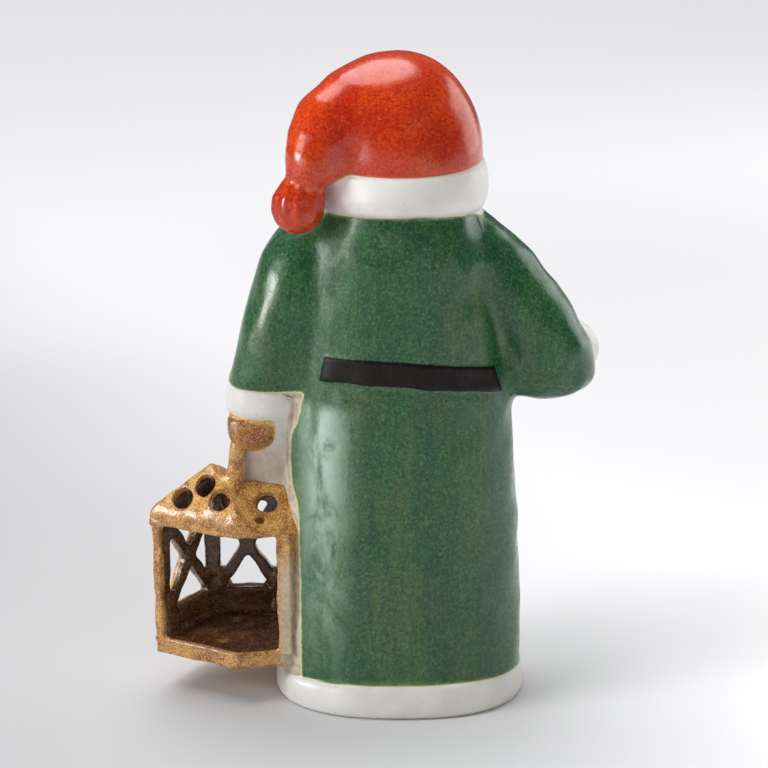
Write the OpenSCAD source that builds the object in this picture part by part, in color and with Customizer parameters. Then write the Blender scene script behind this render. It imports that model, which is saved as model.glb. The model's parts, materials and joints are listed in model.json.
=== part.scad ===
// Gnome figurine in glazed ceramic, with a candle lantern. Millimetres, +Z up.
// The figure faces -Y, and the lantern hangs from its left hand, on the +X side.
// The origin is the centre of the flat face that the figure stands on.

/* [Coat] */
// Width of the coat just above the hem
coat_w = 124.6; // [122:0.2:126]
// Depth of the coat just above the hem
coat_d = 87; // [84:0.5:89]
// Height of the collar above the table
collar_h = 253; // [251:0.5:254]
// Thickness of the cast clay walls
wall = 6; // [4.5:0.5:7]
// Corner fullness of the coat's plan: 2 is an ellipse, more is squarer
coat_fullness = 2.4; // [2.2:0.1:2.6]
// Height of the white hem
hem_h = 15.5; // [13:0.5:18]
// Height of the belt strap
belt_h = 12.4; // [10:0.2:14]
// Height of the belt's middle above the table
belt_z = 170.6; // [169:0.2:173]
// Tilt of the belt, lower on the right arm's side
belt_tilt = 2.8; // [1:0.2:4]
// Lean of the belt, lower at the front
belt_lean = 10; // [7:0.5:12]

/* [Head and cap] */
// Radius of the head
head_r = 37; // [36:0.5:38]
// Height of the white cap band
band_h = 21.1; // [20:0.1:22]
// Radius of the cap band at its fullest
band_r = 42; // [41:0.5:43]
// Height of the red dome above the band
cap_h = 52.8; // [50:0.2:54]
// Width of the tassel
tassel_w = 25; // [23:0.5:26]

/* [Lantern] */
// Height of the lantern's underside above the table
lantern_z = 20; // [19:0.5:22]
// Thickness of the floor and of the roof's eave
slab = 9; // [8:0.5:9.5]
// Clear height between floor and roof
chamber_h = 62; // [58:0.5:64]
// Rise of the pyramid roof above its eave
roof_rise = 22.5; // [20:0.5:24]
// Diameter of the roof's vent holes
vent_d = 10; // [9:0.5:10.5]
// Side of the square corner posts
post_w = 7; // [6:0.5:7.5]
// Width of the lattice bars
bar_w = 6; // [5.5:0.5:7.5]
// Height of the curb under the lattice
curb_h = 14; // [11:0.5:15]

/* [Hidden] */

// Layer of slip between two luted pieces
slip = 0.1;
// Overlap that keeps a cut clean
cut = 1;
coat_sides = 56;
limb_sides = 28;

green = [0.16, 0.42, 0.29];
white = [0.93, 0.92, 0.89];
red = [0.76, 0.22, 0.11];
ochre = [0.6, 0.42, 0.17];
black = [0.16, 0.12, 0.11];
skin = [0.88, 0.69, 0.58];

// Base
plate_h = 6;
vent_hole_d = 12;
vent_hole_x = 24;
plate_rx = coat_w / 2 - wall - 1.5;
plate_ry = coat_d / 2 - wall - 1.5;

// Sections are [height, centre x, centre y, radius x, radius y].
// The coat's radii are shares of its width and depth.
coat_shape = [[plate_h + slip, 0.485, 0.485], [16, 0.5, 0.495], [45, 0.498, 0.49],
              [75, 0.487, 0.483], [100, 0.474, 0.474], [130, 0.458, 0.463], [154, 0.445, 0.451],
              [172, 0.42, 0.445], [195, 0.395, 0.432], [218, 0.385, 0.425], [233, 0.37, 0.42],
              [collar_h - 8, 0.34, 0.412], [collar_h - 2, 0.312, 0.402], [collar_h, 0.296, 0.39]];
hem_shape = [[0, 0, 0, 0.502, 0.515], [3, 0, 0, 0.514, 0.532], [9, 0, 0, 0.515, 0.534],
             [hem_h - 2.5, 0, 0, 0.51, 0.525], [hem_h, 0, 0, 0.5, 0.508]];

// Head and cap
head_at = [-1, -8, 250];
band_at = [-0.5, -1, 253];
cap_z = band_at.z + band_h + slip;
cap_shape = [[0, 0, 0, 39.7, 39.5], [0.22, 1, 0, 39.9, 39.5], [0.44, 3, -0.5, 38.2, 37.5],
             [0.62, 4.5, -1, 34.5, 34], [0.78, 5, -1.5, 28.5, 28.5], [0.9, 4.5, -2, 20.5, 20.5],
             [0.965, 4, -2, 13, 13], [1, 3, -2, 5, 5]];
tail_path = [[12, 4, 305, 20], [22, 10, 300, 20.4], [31.5, 16.5, 292, 18.4], [37.5, 22, 285, 15.4],
             [41.5, 25.5, 279, 12.4], [44.4, 26.8, 273.5, 9.6]];
tassel_shape = [[0, 46.3, 27, 8.2, 7.6], [-4, 47.3, 27, 10.3, 9.2], [-9, 48.3, 27.2, 12.1, 10.8],
                [-14, 48.6, 27.2, 12.5, 11.2], [-19, 48.8, 27, 11, 10], [-23.5, 49, 27, 7.6, 7],
                [-26, 49, 26.8, 3, 3]];
tassel_z = 273.5;

// Arms
left_arm = [[165, 66.8, 3, 18.5, 18], [175, 64.2, 3, 18.9, 19], [185, 61.4, 3, 19.2, 20],
            [205, 56.2, 2, 19.6, 21], [220, 51.5, 1, 19.5, 21], [230, 47.8, 0, 19.2, 20.5],
            [239, 43.3, -1, 18.2, 18.5], [245, 38.5, -1, 14.5, 14.5], [249, 34, -1, 8, 8]];
right_upper_arm = [[159, -73, 2, 10, 9], [161.5, -73, 2, 17, 15], [166, -73, 2, 21.3, 19],
                   [172.5, -72.5, 2, 22.9, 21], [183, -71, 2, 23, 21.5], [195, -66.8, 2, 22, 21.5],
                   [206, -61.8, 1, 20.8, 21.5], [218, -54, 0, 19.6, 21], [231, -44.5, -1, 18.8, 20],
                   [241, -35.5, -1, 16.2, 16.5], [248, -30, -1, 11, 11]];
// The forearm runs towards -Y: its sections are [distance, x, -, radius x, radius z].
forearm = [[-6, -73, 170, 17, 11], [0, -73, 170.5, 21, 14], [20, -76.5, 169, 18.8, 15],
           [44, -82.5, 165.5, 17.6, 15]];
left_cuff_shape = [[149.5, 68.2, 3, 16.5, 16.5], [152, 68.4, 3, 18.1, 18.2], [158, 68.2, 3, 18.4, 18.4],
                   [165 - slip, 67, 3, 17.8, 17.6]];
right_cuff_shape = [[44 + slip, -83.2, 165.3, 17.8, 15.6], [47, -84, 165, 20, 17.2],
                    [53, -85, 164.5, 20.3, 17.2], [57, -86, 164.2, 17.3, 15]];
web_shape = [[103, 65, 2, 15.5, 9], [118, 65, 2.5, 14.8, 9], [134, 65.5, 2.5, 14.5, 10.5],
             [149.5 - slip, 67, 3, 15.8, 13.5]];

// Beard
beard_shape = [[176, -1, -41, 5, 4], [184, -1, -42, 14, 7], [196, -1, -42.5, 21, 9],
               [210, -1, -42, 26, 10.5], [222, -1, -39.5, 28.5, 12], [232, -1, -36.5, 30, 13],
               [240, -1, -33, 30, 13], [246, -1, -30, 28, 12], [250, -1, -28, 25, 10]];
moustache_path = [[2.5, -47.5, 229.5, 4.5], [8, -48.3, 228.5, 5.2], [14, -46.8, 226, 4.6],
                  [19, -43.8, 223.8, 3.4], [23, -40.3, 223.5, 2]];

// Lantern plan: outer corners, and the roof's apex
corner_front = [82.5, 31.5];
corner_outer = [125.5, 10.5];
corner_rear = [102, -29];
inner_rear_y = -29;
inner_front = [57, 25];
apex = [94.5, 8];
coat_gap = 0.4;
floor_top = lantern_z + slab;
eave_z = floor_top + chamber_h;
eave_top = eave_z + slab;
roof_top = eave_top + roof_rise;
ridge_end = [62, 9];
ridge_drop = 9;
vents = [[109, 13], [97, 13.5], [88.5, 22], [66.5, 19]];
handle_foot = [84, 13, eave_top + 8];
handle_top = [80, 12, 141];
mitten_at = [74, 12, 149.5 - slip];
mitten_r = 11.8;
mitten_depth = 8;
post_outer = [120, 10];
post_rear = [98.6, -24.8];
post_inner = [61, -25];
post_front = [57, 25];

// ---- Shapes that several pieces share ----

function signed_power(v, e) = sign(v) * pow(abs(v), e);

function oval(rx, ry, fullness, n) =
    [for (i = [0 : n - 1]) let (a = 360 * i / n)
        [rx * signed_power(cos(a), 2 / fullness), ry * signed_power(sin(a), 2 / fullness)]];

function ring(s, fullness, n) = [for (p = oval(s[3], s[4], fullness, n)) [s[1] + p.x, s[2] + p.y, s[0]]];

function prism_faces(n) =
    concat([[for (i = [0 : n - 1]) i]], [[for (i = [n - 1 : -1 : 0]) n + i]],
           [for (i = [0 : n - 1]) let (j = (i + 1) % n) [j, i, n + i, n + j]]);

// Solid through a stack of horizontal oval sections
module loft(sections, fullness = 2, n = limb_sides) {
    for (i = [0 : len(sections) - 2])
        hull() polyhedron(concat(ring(sections[i], fullness, n), ring(sections[i + 1], fullness, n)),
                          prism_faces(n));
}

// Sections thinned or thickened by a layer, with the first one moved to a given height
function layered(sections, t, first_z) =
    [for (i = [0 : len(sections) - 1]) let (s = sections[i])
        [i == 0 ? first_z : s[0], s[1], s[2], s[3] + t, s[4] + t]];

// Solid of revolution between a table of [height, radius] points and its axis
module turned(profile) {
    rotate_extrude($fn = 96)
        polygon(concat([[0, profile[0].x]], [for (p = profile) [p.y, p.x]],
                       [[0, profile[len(profile) - 1].x]]));
}

// Egg-shaped solid of revolution about Z
module spheroid(r, half_length) {
    turned([for (a = [-85 : 10 : 85]) [half_length * sin(a), r * cos(a)]]);
}

// ---- Forms that neighbours are cut from ----

function coat_sections(t) =
    [for (s = coat_shape) [s[0], 0, 0, coat_w * s[1] + t, coat_d * s[2] + t]];

module coat_form(t = 0) loft(coat_sections(t), coat_fullness, coat_sides);

module coat_cavity() {
    inner = [for (s = coat_sections(-wall)) if (s[0] < collar_h - 12) s];
    loft(inner, coat_fullness, coat_sides);
}

module head_form(t = 0, facets = 72) translate(head_at) sphere(r = head_r + t, $fn = facets);

module band_form(t = 0) {
    translate(band_at)
        turned([for (k = [0 : 8]) let (s = k / 8)
            [(band_h + 2 * t) * s - t, band_r - 4.5 + t + 4.5 * pow(sin(18 + 144 * s), 0.8)]]);
}

module cap_form(t = 0) {
    loft([for (s = cap_shape) [cap_z - t + (cap_h + t) * s[0], band_at.x + s[1], band_at.y + s[2],
                               s[3] + t, s[4] + t]], 2, 44);
    for (i = [0 : len(tail_path) - 2])
        hull() {
            tail_ball(tail_path[i], t);
            tail_ball(tail_path[i + 1], t);
        }
}

module tail_ball(b, t) translate([b[0], b[1], b[2]]) sphere(r = b[3] + t, $fn = 24);

module belt_slab() {
    translate([0, 0, belt_z]) rotate([belt_lean, -belt_tilt, 0])
        translate([0, 0, -belt_h / 2]) linear_extrude(belt_h) square(200, center = true);
}

module left_sleeve_form(t = 0) loft(layered(left_arm, t, left_arm[0][0]));

module forearm_form(t = 0, reach = 0) {
    sections = [for (i = [0 : len(forearm) - 1]) let (s = forearm[i])
        [i == len(forearm) - 1 ? s[0] + reach : s[0], s[1], s[2], s[3] + t, s[4] + t]];
    rotate([90, 0, 0]) loft(sections);
}

module right_sleeve_form(t = 0) {
    loft(layered(right_upper_arm, t, right_upper_arm[0][0] - t));
    forearm_form(t);
}

module moustache_form(t = 0) {
    for (side = [-1, 1], i = [0 : len(moustache_path) - 2])
        hull() {
            moustache_ball(moustache_path[i], side, t);
            moustache_ball(moustache_path[i + 1], side, t);
        }
}

module moustache_ball(b, side, t) {
    translate([head_at.x + side * b[0], b[1], b[2]]) sphere(r = b[3] + t, $fn = 16);
}

module nose_form(t = 0, facets = 40) {
    translate([head_at.x, head_at.y - head_r + 1.5, 236.5]) sphere(r = 7.2 + t, $fn = facets);
}

// Five-sided lantern plan, cut back where it meets the coat's side
module lantern_plan(reach, coat_grow) {
    difference() {
        polygon([corner_front + [0, reach], corner_outer + [reach, 0], corner_rear + [reach, -reach] / 2,
                 [50, inner_rear_y - reach / 2], [50, inner_front.y + reach / 2]]);
        polygon(oval(coat_w / 2 + coat_grow, coat_d / 2 + coat_grow, coat_fullness, 4 * coat_sides));
    }
}

module roof_form(t = 0) {
    plan = [corner_front + [0, t], corner_outer + [t, 0], corner_rear + [t, -t] / 2,
            [57, inner_rear_y - t], [57, inner_front.y + t]];
    hull() {
        translate([0, 0, eave_top]) linear_extrude(0.01) polygon(plan);
        translate([apex.x, apex.y, roof_top + t - 0.5]) cylinder(r = 1.5, h = 0.5, $fn = 24);
        translate([ridge_end.x, ridge_end.y, roof_top - ridge_drop + t - 0.5])
            cylinder(r = 1.5, h = 0.5, $fn = 24);
    }
}

module handle_form(t = 0) {
    rod = handle_top - handle_foot;
    translate(handle_foot) rotate([0, acos(rod.z / norm(rod)), atan2(rod.y, rod.x)])
        translate([0, 0, -8]) cylinder(r1 = 4.2 + t, r2 = 2.4 + t, h = norm(rod) + 6, $fn = 40);
}

// Stands a panel on the line from one plan point to another
module along(from, to) {
    translate([from.x, from.y, floor_top + slip]) rotate([90, 0, atan2(to.y - from.y, to.x - from.x)])
        children();
}

// Cross lattice over a solid curb, drawn from its lower left corner
module lattice(length, height) {
    square([length, curb_h]);
    intersection() {
        square([length, height]);
        for (side = [-1, 1])
            translate([length / 2, (height + curb_h) / 2])
                rotate(side * atan2(height - curb_h, length - bar_w))
                    square([2 * height, bar_w], center = true);
    }
}

module panel(from, to) {
    length = norm(to - from) - post_w - 2 * slip;
    step = (to - from) / norm(to - from) * (post_w / 2 + slip);
    along(from + step, to) translate([0, 0, -bar_w / 2])
        linear_extrude(bar_w) lattice(length, chamber_h - 2 * slip);
}

module post(at, turn) {
    translate([at.x, at.y, floor_top + slip]) rotate(turn) translate([-post_w / 2, -post_w / 2, 0])
        cube([post_w, post_w, chamber_h - 2 * slip]);
}

// ---- Sub-parts ----

module base_plate() {
    color(white) difference() {
        linear_extrude(plate_h) polygon(oval(plate_rx, plate_ry, coat_fullness, 96));
        translate([vent_hole_x, 0, -cut]) cylinder(d = vent_hole_d, h = plate_h + 2 * cut, $fn = 48);
    }
}

module coat() {
    color(green) difference() {
        coat_form();
        coat_cavity();
        translate([0, 0, collar_h - 14]) linear_extrude(20) polygon(oval(24, 24, 2, 48));
        head_form(slip);
        band_form(slip);
        translate([0, 0, plate_h]) linear_extrude(2)
            polygon(oval(plate_rx, plate_ry, coat_fullness, 96));
    }
}

module hem_band() {
    hem = [for (s = hem_shape) [s[0], s[1], s[2], coat_w * s[3], coat_d * s[4]]];
    color(white) difference() {
        loft(hem, coat_fullness, coat_sides);
        coat_form(slip);
        translate([0, 0, -cut]) linear_extrude(plate_h + 2 * cut)
            polygon(oval(plate_rx + slip, plate_ry + slip, coat_fullness, 96));
    }
}

module belt() {
    color(black) difference() {
        intersection() {
            coat_form(1.5);
            belt_slab();
        }
        coat_form(slip);
        left_sleeve_form(slip);
        right_sleeve_form(slip);
    }
}

module left_sleeve() {
    color(green) difference() {
        left_sleeve_form();
        loft([for (s = layered(left_arm, -wall, left_arm[0][0] - cut)) if (s[0] < 240) s]);
        coat_form(slip);
        band_form(slip);
        tassel_form(slip);
    }
}

module right_sleeve() {
    color(green) difference() {
        right_sleeve_form();
        loft([for (s = layered(right_upper_arm, -wall, 163)) if (s[0] < 233 && s[0] > 160) s]);
        forearm_form(-wall, cut);
        coat_form(slip);
        band_form(slip);
    }
}

module left_cuff() {
    color(white) difference() {
        loft(left_cuff_shape);
        coat_form(slip);
    }
}

module right_cuff() {
    color(white) rotate([90, 0, 0]) loft(right_cuff_shape);
}

module left_mitten() {
    color(ochre) difference() {
        intersection() {
            translate([mitten_at.x, mitten_at.y, mitten_at.z - 5.5]) rotate([90, 0, 0])
                spheroid(mitten_r + 1.6, mitten_depth);
            translate([mitten_at.x, mitten_at.y, mitten_at.z - 10]) cube([23.4, 30, 20], center = true);
        }
        handle_form(slip);
    }
}

module left_mitten_room() {
    translate([mitten_at.x, mitten_at.y, mitten_at.z - 5.5]) rotate([90, 0, 0])
        spheroid(mitten_r + 1.6 + slip, mitten_depth + slip);
}

module right_mitten() {
    color(ochre) intersection() {
        union() {
            translate([-87.5, -66, 165]) rotate([80, 0, -6]) spheroid(12.5, 18);
            translate([-77.5, -66, 171]) rotate([70, 0, 25]) spheroid(5.5, 11);
        }
        translate([-88, -57 - slip - 50, 165]) cube(100, center = true);
    }
}

module side_web() {
    color(white) difference() {
        loft(web_shape);
        coat_form(slip);
        roof_form(slip);
        translate([0, 0, eave_top - 10]) linear_extrude(10 + slip) square(200, center = true);
        handle_form(slip);
        left_mitten_room();
    }
}

module head() {
    color(skin) difference() {
        head_form();
        translate(head_at) sphere(r = head_r - wall, $fn = 60);
        translate(head_at + [0, 0, head_r / 2 + slip]) cube([90, 90, head_r], center = true);
        translate(head_at - [0, 0, head_r]) cylinder(r = 14, h = 20, center = true, $fn = 48);
        band_form(slip);
    }
}

module eyes() {
    color(black) difference() {
        for (side = [-1, 1])
            translate([head_at.x + side * 11.5, head_at.y - 34.3, 241.5]) sphere(r = 2.4, $fn = 96);
        head_form(slip, 288);
    }
}

module nose() {
    color(skin) difference() {
        nose_form(0, 120);
        head_form(slip, 288);
    }
}

module moustache() {
    color(white) difference() {
        moustache_form();
        head_form(slip);
        nose_form(slip);
    }
}

module beard() {
    color(white) difference() {
        loft(beard_shape);
        coat_form(slip);
        head_form(slip);
        band_form(slip);
        moustache_form(slip);
        nose_form(slip);
        translate([head_at.x, -20, 243]) rotate([90, 0, 0]) cylinder(r = 17, h = 40, $fn = 48);
    }
}

module cap_band() {
    color(white) difference() {
        band_form();
        translate([band_at.x, band_at.y, band_at.z - cut])
            cylinder(r = band_r - wall - 4, h = band_h + 2 * cut, $fn = 72);
    }
}

module cap() {
    color(red) difference() {
        cap_form();
        loft([for (s = cap_shape) if (s[0] < 0.9)
            [cap_z - cut + (cap_h - 2) * s[0], band_at.x + s[1], band_at.y + s[2],
             s[3] - wall, s[4] - wall]], 2, 44);
        band_form(slip / 2);
        tassel_form(slip);
    }
}

module tassel_form(t = 0) {
    loft([for (i = [len(tassel_shape) - 1 : -1 : 0]) let (s = tassel_shape[i])
        [tassel_z + s[0], s[1], s[2], s[3] * tassel_w / 25 + t, s[4] * tassel_w / 25 + t]]);
}

module cap_tassel() {
    color(red) difference() {
        tassel_form();
        band_form(slip);
    }
}

module lantern_floor() {
    color(ochre) translate([0, 0, lantern_z]) linear_extrude(slab) lantern_plan(0, coat_gap);
}

module lantern_post_front() {
    color(ochre) difference() {
        post(post_front, -20);
        translate([0, 0, lantern_z]) linear_extrude(slab + chamber_h + cut)
            polygon(oval(coat_w / 2 + coat_gap, coat_d / 2 + coat_gap, coat_fullness, 4 * coat_sides));
    }
}

module lantern_post_outer() color(ochre) post(post_outer, -30);

module lantern_post_rear() color(ochre) post(post_rear, 0);

module lantern_post_inner() color(ochre) post(post_inner, 0);

module lantern_panel_outer() color(ochre) panel(post_rear, post_outer);

module lantern_panel_far() color(ochre) panel(post_inner, post_rear);

module lantern_roof() {
    color(ochre) difference() {
        union() {
            translate([0, 0, eave_z]) linear_extrude(slab + 0.01) lantern_plan(1, coat_gap);
            roof_form();
        }
        roof_hollow();
        translate([0, 0, eave_top - cut]) linear_extrude(roof_rise + 2 * cut)
            polygon(oval(coat_w * 0.476 + coat_gap, coat_d * 0.476 + coat_gap, coat_fullness, 96));
        for (v = vents)
            translate([v.x, v.y, eave_z - cut]) cylinder(d = vent_d, h = slab + roof_rise, $fn = 48);
        handle_form(slip);
    }
}

module roof_hollow() {
    hull() {
        translate([0, 0, eave_z - 0.01]) linear_extrude(0.01)
            polygon([corner_front - [0, 7], corner_outer - [8, 1], corner_rear + [-4, 6],
                     [66, inner_rear_y + 7], [66, inner_front.y - 6]]);
        translate([apex.x, apex.y, roof_top - 11]) cylinder(r = 2, h = 0.5, $fn = 24);
    }
}

module lantern_handle() color(ochre) handle_form();

base_plate();
coat();
hem_band();
belt();
left_sleeve();
right_sleeve();
left_cuff();
right_cuff();
left_mitten();
right_mitten();
side_web();
head();
eyes();
nose();
moustache();
beard();
cap_band();
cap();
cap_tassel();
lantern_floor();
lantern_post_front();
lantern_post_outer();
lantern_post_rear();
lantern_post_inner();
lantern_panel_outer();
lantern_panel_far();
lantern_roof();
lantern_handle();
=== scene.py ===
import json
import math

import bpy
import numpy as np
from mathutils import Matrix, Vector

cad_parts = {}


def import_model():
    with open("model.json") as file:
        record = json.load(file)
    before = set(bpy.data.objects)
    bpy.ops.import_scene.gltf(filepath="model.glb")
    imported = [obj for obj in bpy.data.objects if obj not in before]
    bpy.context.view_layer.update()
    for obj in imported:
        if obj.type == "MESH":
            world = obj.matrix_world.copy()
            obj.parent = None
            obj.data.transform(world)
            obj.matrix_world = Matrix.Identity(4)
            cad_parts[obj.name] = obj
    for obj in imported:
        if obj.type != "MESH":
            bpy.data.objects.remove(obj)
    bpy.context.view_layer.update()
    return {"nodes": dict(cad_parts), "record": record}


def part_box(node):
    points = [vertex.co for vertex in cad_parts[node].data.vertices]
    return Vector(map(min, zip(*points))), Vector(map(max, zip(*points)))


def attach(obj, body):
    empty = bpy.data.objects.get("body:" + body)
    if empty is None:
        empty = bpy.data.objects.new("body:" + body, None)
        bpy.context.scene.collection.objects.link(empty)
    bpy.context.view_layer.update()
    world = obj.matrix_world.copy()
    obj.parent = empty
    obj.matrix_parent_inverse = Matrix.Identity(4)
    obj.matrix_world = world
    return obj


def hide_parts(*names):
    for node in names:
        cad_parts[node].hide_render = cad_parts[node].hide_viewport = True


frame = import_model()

import openvdb
from mathutils import Vector
from mathutils.geometry import tessellate_polygon

# The figure is shaped as clay fields: signed distances in millimetres, negative inside the clay.
# All pieces are pressed together into one skin, and the skin is then cut into the pieces again,
# so that neighbouring pieces meet without a gap, as luted and glazed clay does.

MM = 1000
TINY = 1e-9
VOXEL = 1.0
LANTERN_VOXEL = 0.7
DETAIL_VOXEL = 0.3
SLOT_OF = {s["node"]: s["material_slot"] for s in frame["record"]["subparts"]}


def span(node):
    """Lowest and highest corner of a CAD node, in millimetres."""
    low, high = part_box(node)
    return np.array(low) * MM, np.array(high) * MM


# ---------------------------------------------------------------- field tools

def smooth_min(a, b, k):
    h = np.clip(0.5 + 0.5 * (b - a) / k, 0, 1)
    return b + (a - b) * h - k * h * (1 - h)


def smooth_max(a, b, k):
    return -smooth_min(-a, -b, k)


def between(value, start, end):
    """0 at the start, 1 at the end, and straight in between."""
    return np.clip((value - start) / (end - start), 0, 1)


def cut_level(field, z, low, high, k_low, k_high):
    """The field cut off at a lowest and a highest z, with edges rounded by k_low and k_high."""
    return smooth_max(smooth_max(field, low - z, k_low), z - high, k_high)


def smooth_keys(keys, at, samples=800):
    """A smooth curve without overshoot through rows of [place, value, ...], read at each place in at."""
    keys = np.array(keys, float)
    places, values = keys[:, 0], keys[:, 1:]
    step = np.diff(places)[:, None]
    slope = np.diff(values, axis=0) / step
    before, after = slope[:-1], slope[1:]
    turning = before * after <= 0
    total = np.where(turning, 1, before + after)
    tangent = np.vstack([slope[:1], np.where(turning, 0, 2 * before * after / total), slope[-1:]])
    fine = np.linspace(places[0], places[-1], samples)
    i = np.clip(np.searchsorted(places, fine) - 1, 0, len(places) - 2)
    s = ((fine - places[i]) / step[i, 0])[:, None]
    curve = ((1 + 2 * s) * (1 - s) ** 2 * values[i] + s * (1 - s) ** 2 * step[i] * tangent[i]
             + s * s * (3 - 2 * s) * values[i + 1] + s * s * (s - 1) * step[i] * tangent[i + 1])
    return [np.interp(at, fine, column).astype(np.float32) for column in curve.T]


def loft(p, keys, fullness=2.0):
    """A stack of level ovals. The keys are rows of [z, centre x, centre y, radius x, radius y]."""
    x, y, z = p
    cx, cy, rx, ry = smooth_keys(keys, z)
    dx, dy = x - cx, y - cy
    far = np.sqrt(dx * dx + dy * dy)
    share = (np.abs(dx / rx) ** fullness + np.abs(dy / ry) ** fullness) ** (1 / fullness)
    core = 0.05
    return np.where(share > core, far - far / np.maximum(share, core), -np.minimum(rx, ry))


def limb(p, path, k=4.0):
    """A tapering rod through rows of [x, y, z, radius]."""
    x, y, z = p
    whole = None
    for (ax, ay, az, ar), (bx, by, bz, br) in zip(path[:-1], path[1:]):
        ex, ey, ez = bx - ax, by - ay, bz - az
        t = np.clip(((x - ax) * ex + (y - ay) * ey + (z - az) * ez) / (ex * ex + ey * ey + ez * ez), 0, 1)
        near = np.sqrt((x - ax - t * ex) ** 2 + (y - ay - t * ey) ** 2 + (z - az - t * ez) ** 2)
        link = near - ar - t * (br - ar)
        whole = link if whole is None else smooth_min(whole, link, k)
    return whole


def egg(p, centre, radii):
    """A ball stretched to its own radius along each axis."""
    x, y, z = (c - m for c, m in zip(p, centre))
    rx, ry, rz = radii
    once = np.sqrt((x / rx) ** 2 + (y / ry) ** 2 + (z / rz) ** 2)
    twice = np.sqrt((x / rx ** 2) ** 2 + (y / ry ** 2) ** 2 + (z / rz ** 2) ** 2)
    return once * (once - 1) / np.maximum(twice, TINY)


def outline(p, corners, k=0.0):
    """Inside of an upright prism whose convex plan has these corners, listed anticlockwise."""
    x, y, _ = p
    whole = None
    for (ax, ay), (bx, by) in zip(corners, corners[1:] + corners[:1]):
        length = math.hypot(bx - ax, by - ay)
        side = ((x - ax) * (by - ay) - (y - ay) * (bx - ax)) / length
        whole = side if whole is None else (smooth_max(whole, side, k) if k else np.maximum(whole, side))
    return whole


def ripple(p, wavelength, seed, waves=16):
    """Gentle unevenness of about one unit, the same at the same place each time."""
    rng = np.random.default_rng(seed)
    turn = 2 * math.pi
    total = 0
    for _ in range(waves):
        way = rng.normal(size=3)
        way *= rng.uniform(0.7, 1.4) * turn / wavelength / np.linalg.norm(way)
        total = total + np.sin(p[0] * way[0] + p[1] * way[1] + p[2] * way[2] + rng.uniform(0, turn))
    return total * math.sqrt(2 / waves)


# ---------------------------------------------------------------- the figure

coat_half_w, coat_half_d, collar = span("coat")[1]
band_low, band_high = span("cap_band")[0][2], span("cap_band")[1][2]
band_x, band_y, _ = sum(span("cap_band")) / 2
cap_top = span("cap")[1][2]
hem_half_w, hem_half_d, _ = span("hem_band")[1]

BODY_FULLNESS = 2.4
EYE_SIDE = 11.5

# Rows of [z, share of half width, share of half depth]
COAT = [[-20, 1.0, 1.01], [16, 1.0, 1.01], [45, 0.996, 1.0], [75, 0.974, 0.985], [100, 0.948, 0.966],
        [130, 0.916, 0.944], [154, 0.89, 0.92], [172, 0.84, 0.9], [195, 0.765, 0.88],
        [218, 0.71, 0.868], [233, 0.675, 0.856], [243, 0.635, 0.838], [249, 0.6, 0.82], [255, 0.57, 0.79]]

# Rows of [z, share of the hem's size]
HEM = [[-6, 0.975], [0, 0.992], [5, 1.0], [10, 0.997], [18, 0.965]]

# Rows of [z, centre x, centre y, radius x, radius y]
LEFT_ARM = [[150, 66.4, 3, 18.8, 17.8], [165, 64.8, 4, 20.4, 19], [175, 61.8, 5, 21.3, 20.5],
            [185, 59, 5, 21.6, 22], [205, 54, 4, 21.8, 23], [220, 49.7, 3, 21.4, 23],
            [230, 46.4, 1.5, 20.7, 22], [239, 42.4, 0, 19.3, 19.5], [246, 38, -1, 15, 14.5],
            [252, 33, -1, 10, 9]]
LEFT_CUFF = [[140, 68.6, 3, 16, 15.8], [150, 68.4, 3, 17.4, 17.2], [157, 68, 3, 18.7, 18.2],
             [170, 67, 3, 17.8, 17.2]]
RIGHT_ARM = [[150, -73, 2, 18, 16], [160, -73, 2, 21, 18.5], [168, -72.6, 2, 23, 20.5],
             [183, -71, 2, 23.2, 21.5], [195, -66.8, 2, 22.2, 21.5], [206, -61.8, 1, 21, 21.5],
             [218, -54, 0, 19.8, 21], [231, -44.5, -1, 19, 20], [241, -35.5, -1, 16.4, 16.5],
             [250, -29, -1, 11, 11]]
WEB = [[90, 64, 1.5, 18, 9], [118, 65.5, 2, 17.2, 9], [134, 66.3, 2.5, 16, 10.5], [152, 67, 3, 15.8, 13.5]]
BEARD = [[174, -1, -41, 2.5, 3], [184, -1, -42, 13, 7.5], [196, -1, -42.5, 20.5, 9.5], [210, -1, -42, 26, 11],
         [222, -1, -39.5, 29, 12.5], [232, -1, -36.5, 30.5, 13.5], [240, -1, -33, 31, 13.5],
         [252, -1, -28, 28, 12]]
TASSEL = [[244.5, 49, 26.8, 3, 3], [248, 49, 27, 7.6, 7], [252.5, 48.8, 27, 11, 10],
          [258, 48.6, 27.2, 12.4, 11.2], [263.5, 48.2, 27.2, 12.3, 11.1], [268.5, 47.3, 27.1, 10.2, 9.4],
          [272.5, 46.3, 27, 8, 7.4], [276.5, 45.6, 26.8, 6, 6]]

# Rows of [distance towards -Y, centre x, centre z, radius x, radius z]
FOREARM = [[-14, -72.5, 169.5, 15, 10], [0, -73, 170.5, 20.5, 14.5], [20, -76.5, 169, 18.8, 15.2],
           [60, -85.5, 163, 16.8, 14.5]]
RIGHT_CUFF = [[40, -82.6, 166, 17, 15.2], [45, -83.4, 165.5, 19.2, 16.8], [50, -84.4, 165, 20.2, 17.4],
              [55, -85.6, 164.6, 19.2, 16.6], [60, -86.5, 164.2, 15.5, 14]]

# Rows of [z, radius x, radius y]
BAND = [[245, 36.5, 36.5], [251, 38.4, 38.2], [257, 41, 40.8], [263, 42.2, 42], [270, 41.8, 41.6],
        [278, 39.6, 39.4]]

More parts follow.
